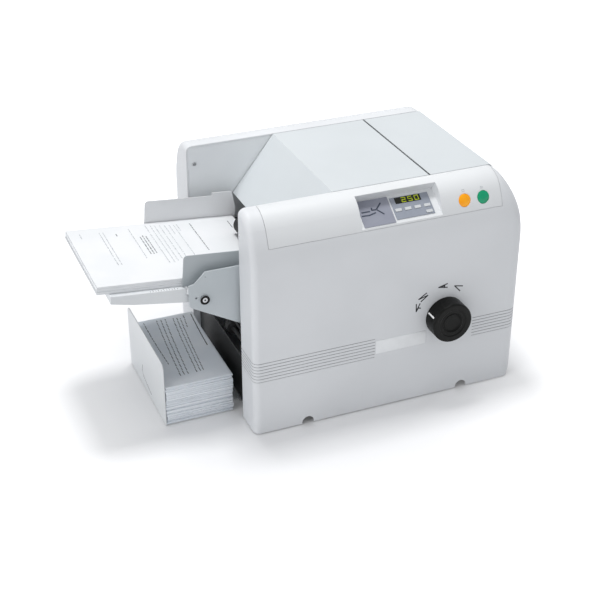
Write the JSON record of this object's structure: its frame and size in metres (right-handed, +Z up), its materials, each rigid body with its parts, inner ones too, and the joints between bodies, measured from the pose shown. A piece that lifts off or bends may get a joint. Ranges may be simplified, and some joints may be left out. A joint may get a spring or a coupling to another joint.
{
  "type": "paper folding machine",
  "caption": "Desk-top paper folding machine with a tilted feed table, side guides, hood, sunk key panel, selector knob and a delivery stop.",
  "frame": {"origin": "on the desk surface, under the middle of the whole machine's outer box", "axes": "+X from the paper feed end to the closed end, +Y from the control side to the mains inlet side, +Z up"},
  "size_m": [0.7092, 0.4222, 0.388],
  "materials": {
    "housing": "fine-textured light grey moulding",
    "strip": "satin light grey moulding",
    "sheet_metal": "satin grey paint",
    "cover_sheet": "satin light grey paint",
    "steel": "ground steel",
    "zinc": "zinc plated",
    "roller_rubber": "ground black rubber",
    "foot_rubber": "moulded black rubber",
    "black_plastic": "fine-textured black",
    "panel_film": "matt film",
    "diagram_film": "matt film",
    "display": "dark window",
    "key_plastic": "matt",
    "orange_plastic": "glossy",
    "green_plastic": "glossy",
    "circuit_board": "lacquered",
    "copy_paper": "uncoated white",
    "bronze": "sintered bronze",
    "motor_metal": "black paint"
  },
  "bodies": {
    "chassis": {"front_cover": "housing", "control_strip": "strip", "diagram_panel": "diagram_film", "keypad_panel": "panel_film", "display_window": "display", "control_board": "circuit_board", "rear_cover": "housing", "front_side_frame": "cover_sheet", "rear_side_frame": "cover_sheet", "frame_tie_bars": "steel", "shaft_bushes": "bronze", "frame_screws": "zinc", "base_plate": "zinc", "rubber_feet": "foot_rubber", "end_cover": "cover_sheet", "front_feed_bracket": "cover_sheet", "rear_feed_bracket": "cover_sheet", "hinge_bolts": "zinc", "feed_table": "cover_sheet", "feed_paper_stack": "copy_paper", "drive_motor": "motor_metal", "drive_belts": "foot_rubber", "feed_ramp": "zinc", "separator_pad": "roller_rubber", "upper_fold_plate": "zinc", "lower_fold_plate": "zinc", "delivery_chute": "zinc", "bay_wall": "sheet_metal", "power_inlet": "black_plastic"},
    "feed_hood": {"feed_hood": "cover_sheet"},
    "plate_cover": {"plate_cover": "cover_sheet"},
    "selector": {"selector_knob": "black_plastic", "selector_shaft": "steel"},
    "upper_fold_stop": {"upper_fold_stop": "steel"},
    "lower_fold_stop": {"lower_fold_stop": "steel"},
    "stop_button": {"stop_button": "orange_plastic"},
    "start_button": {"start_button": "green_plastic"},
    "panel_key_1": {"panel_key_1": "key_plastic"},
    "panel_key_2": {"panel_key_2": "key_plastic"},
    "panel_key_3": {"panel_key_3": "key_plastic"},
    "panel_key_4": {"panel_key_4": "key_plastic"},
    "panel_key_5": {"panel_key_5": "key_plastic"},
    "table_extension": {"table_extension": "cover_sheet"},
    "near_side_guide": {"near_side_guide": "sheet_metal"},
    "far_side_guide": {"far_side_guide": "sheet_metal"},
    "feed_arm": {"feed_arm": "zinc", "feed_arm_belt": "foot_rubber"},
    "feed_roller": {"feed_roller": "roller_rubber"},
    "feed_shaft": {"feed_shaft": "steel"},
    "upper_fold_roller": {"upper_fold_roller": "roller_rubber"},
    "main_fold_roller": {"main_fold_roller": "roller_rubber"},
    "right_fold_roller": {"right_fold_roller": "roller_rubber"},
    "lower_fold_roller": {"lower_fold_roller": "roller_rubber"},
    "delivery_roller": {"delivery_roller": "roller_rubber"},
    "pinch_roller": {"pinch_roller": "roller_rubber"},
    "motor_shaft": {"motor_shaft": "steel"},
    "delivery_stop": {"delivery_stop": "cover_sheet", "folded_paper_stack": "copy_paper"},
    "power_switch": {"power_switch": "black_plastic"}
  },
  "joints": [
    {"name": "hood_hinge", "type": "hinge", "parent": "chassis", "child": "feed_hood", "pos_m": [0.19259, 0.00605, 0.381], "axis": [0, 1, 0], "range_deg": [0, 100]},
    {"name": "plate_cover_hinge", "type": "hinge", "parent": "chassis", "child": "plate_cover", "pos_m": [0.30601, 0.00605, 0.381], "axis": [0, 1, 0], "range_deg": [0, 95]},
    {"name": "selector_turn", "type": "hinge", "parent": "chassis", "child": "selector", "pos_m": [0.21159, -0.18145, 0.154], "axis": [0, 1, 0], "range_deg": [0, 90]},
    {"name": "upper_stop_slide", "type": "slide", "parent": "chassis", "child": "upper_fold_stop", "axis": [0.9063, 0, 0.4226], "range_m": [0, 0.06]},
    {"name": "lower_stop_slide", "type": "slide", "parent": "chassis", "child": "lower_fold_stop", "axis": [0.848, 0, -0.5299], "range_m": [0, 0.06]},
    {"name": "stop_button_press", "type": "slide", "parent": "chassis", "child": "stop_button", "axis": [0, 0.9636, -0.2672], "range_m": [0, 0.002], "stiffness_N_per_m": 400, "springref_m": -0.002},
    {"name": "start_button_press", "type": "slide", "parent": "chassis", "child": "start_button", "axis": [0, 0.9636, -0.2672], "range_m": [0, 0.002], "stiffness_N_per_m": 400, "springref_m": -0.002},
    {"name": "panel_key_1_press", "type": "slide", "parent": "chassis", "child": "panel_key_1", "axis": [0, 0.5736, -0.8192], "range_m": [0, 0.0005], "stiffness_N_per_m": 400, "springref_m": -0.001},
    {"name": "panel_key_2_press", "type": "slide", "parent": "chassis", "child": "panel_key_2", "axis": [0, 0.5736, -0.8192], "range_m": [0, 0.0005], "stiffness_N_per_m": 400, "springref_m": -0.001},
    {"name": "panel_key_3_press", "type": "slide", "parent": "chassis", "child": "panel_key_3", "axis": [0, 0.5736, -0.8192], "range_m": [0, 0.0005], "stiffness_N_per_m": 400, "springref_m": -0.001},
    {"name": "panel_key_4_press", "type": "slide", "parent": "chassis", "child": "panel_key_4", "axis": [0, 0.5736, -0.8192], "range_m": [0, 0.0005], "stiffness_N_per_m": 400, "springref_m": -0.001},
    {"name": "panel_key_5_press", "type": "slide", "parent": "chassis", "child": "panel_key_5", "axis": [0, 0.5736, -0.8192], "range_m": [0, 0.0005], "stiffness_N_per_m": 400, "springref_m": -0.001},
    {"name": "extension_hinge", "type": "hinge", "parent": "chassis", "child": "table_extension", "pos_m": [-0.18591, 0.00605, 0.2365], "axis": [0, -1, 0], "range_deg": [0, 50]},
    {"name": "near_guide_slide", "type": "slide", "parent": "chassis", "child": "near_side_guide", "axis": [0, -1, 0], "range_m": [0, 0.009]},
    {"name": "far_guide_slide", "type": "slide", "parent": "chassis", "child": "far_side_guide", "axis": [0, 1, 0], "range_m": [0, 0.009]},
    {"name": "feed_arm_lift", "type": "hinge", "parent": "chassis", "child": "feed_arm", "pos_m": [-0.02158, 0.00605, 0.28357], "axis": [0, 1, 0], "range_deg": [0, 4]},
    {"name": "feed_roller_spin", "type": "hinge", "parent": "feed_arm", "child": "feed_roller", "pos_m": [-0.06505, 0.00605, 0.27552], "axis": [0, 1, 0], "continuous": true},
    {"name": "feed_shaft_spin", "type": "hinge", "parent": "chassis", "child": "feed_shaft", "pos_m": [-0.02158, 0.00605, 0.28357], "axis": [0, 1, 0], "continuous": true},
    {"name": "upper_roller_spin", "type": "hinge", "parent": "chassis", "child": "upper_fold_roller", "pos_m": [0.01059, 0.00605, 0.2514], "axis": [0, 1, 0], "continuous": true},
    {"name": "main_roller_spin", "type": "hinge", "parent": "chassis", "child": "main_fold_roller", "pos_m": [0.01059, 0.00605, 0.215], "axis": [0, 1, 0], "continuous": true},
    {"name": "right_roller_spin", "type": "hinge", "parent": "chassis", "child": "right_fold_roller", "pos_m": [0.04699, 0.00605, 0.215], "axis": [0, 1, 0], "continuous": true},
    {"name": "lower_roller_spin", "type": "hinge", "parent": "chassis", "child": "lower_fold_roller", "pos_m": [0.01059, 0.00605, 0.1786], "axis": [0, 1, 0], "continuous": true},
    {"name": "delivery_roller_spin", "type": "hinge", "parent": "chassis", "child": "delivery_roller", "pos_m": [-0.09941, 0.00605, 0.1], "axis": [0, 1, 0], "continuous": true},
    {"name": "pinch_roller_spin", "type": "hinge", "parent": "chassis", "child": "pinch_roller", "pos_m": [-0.09941, 0.00605, 0.1194], "axis": [0, 1, 0], "continuous": true},
    {"name": "motor_spin", "type": "hinge", "parent": "chassis", "child": "motor_shaft", "pos_m": [0.27059, 0.00605, 0.07], "axis": [0, 1, 0], "continuous": true},
    {"name": "delivery_stop_slide", "type": "slide", "parent": "chassis", "child": "delivery_stop", "axis": [-1, 0, 0], "range_m": [0, 0.06]},
    {"name": "power_rocker", "type": "hinge", "parent": "chassis", "child": "power_switch", "pos_m": [0.24859, 0.20795, 0.048], "axis": [-1, 0, 0], "range_deg": [0, 12]}
  ],
  "couplings": [
    {"joint": "upper_roller_spin", "follows": "main_roller_spin", "ratio": -1},
    {"joint": "right_roller_spin", "follows": "main_roller_spin", "ratio": -1},
    {"joint": "lower_roller_spin", "follows": "main_roller_spin", "ratio": -1},
    {"joint": "feed_shaft_spin", "follows": "main_roller_spin", "ratio": -0.66667},
    {"joint": "feed_roller_spin", "follows": "main_roller_spin", "ratio": -0.66667},
    {"joint": "delivery_roller_spin", "follows": "main_roller_spin", "ratio": -1.25},
    {"joint": "pinch_roller_spin", "follows": "main_roller_spin", "ratio": 2.1429},
    {"joint": "motor_spin", "follows": "main_roller_spin", "ratio": 1.6},
    {"joint": "upper_stop_slide", "follows": "selector_turn", "m_per_rad": 0.038},
    {"joint": "lower_stop_slide", "follows": "selector_turn", "m_per_rad": 0.038},
    {"joint": "far_guide_slide", "follows": "near_guide_slide", "ratio": 1}
  ]
}
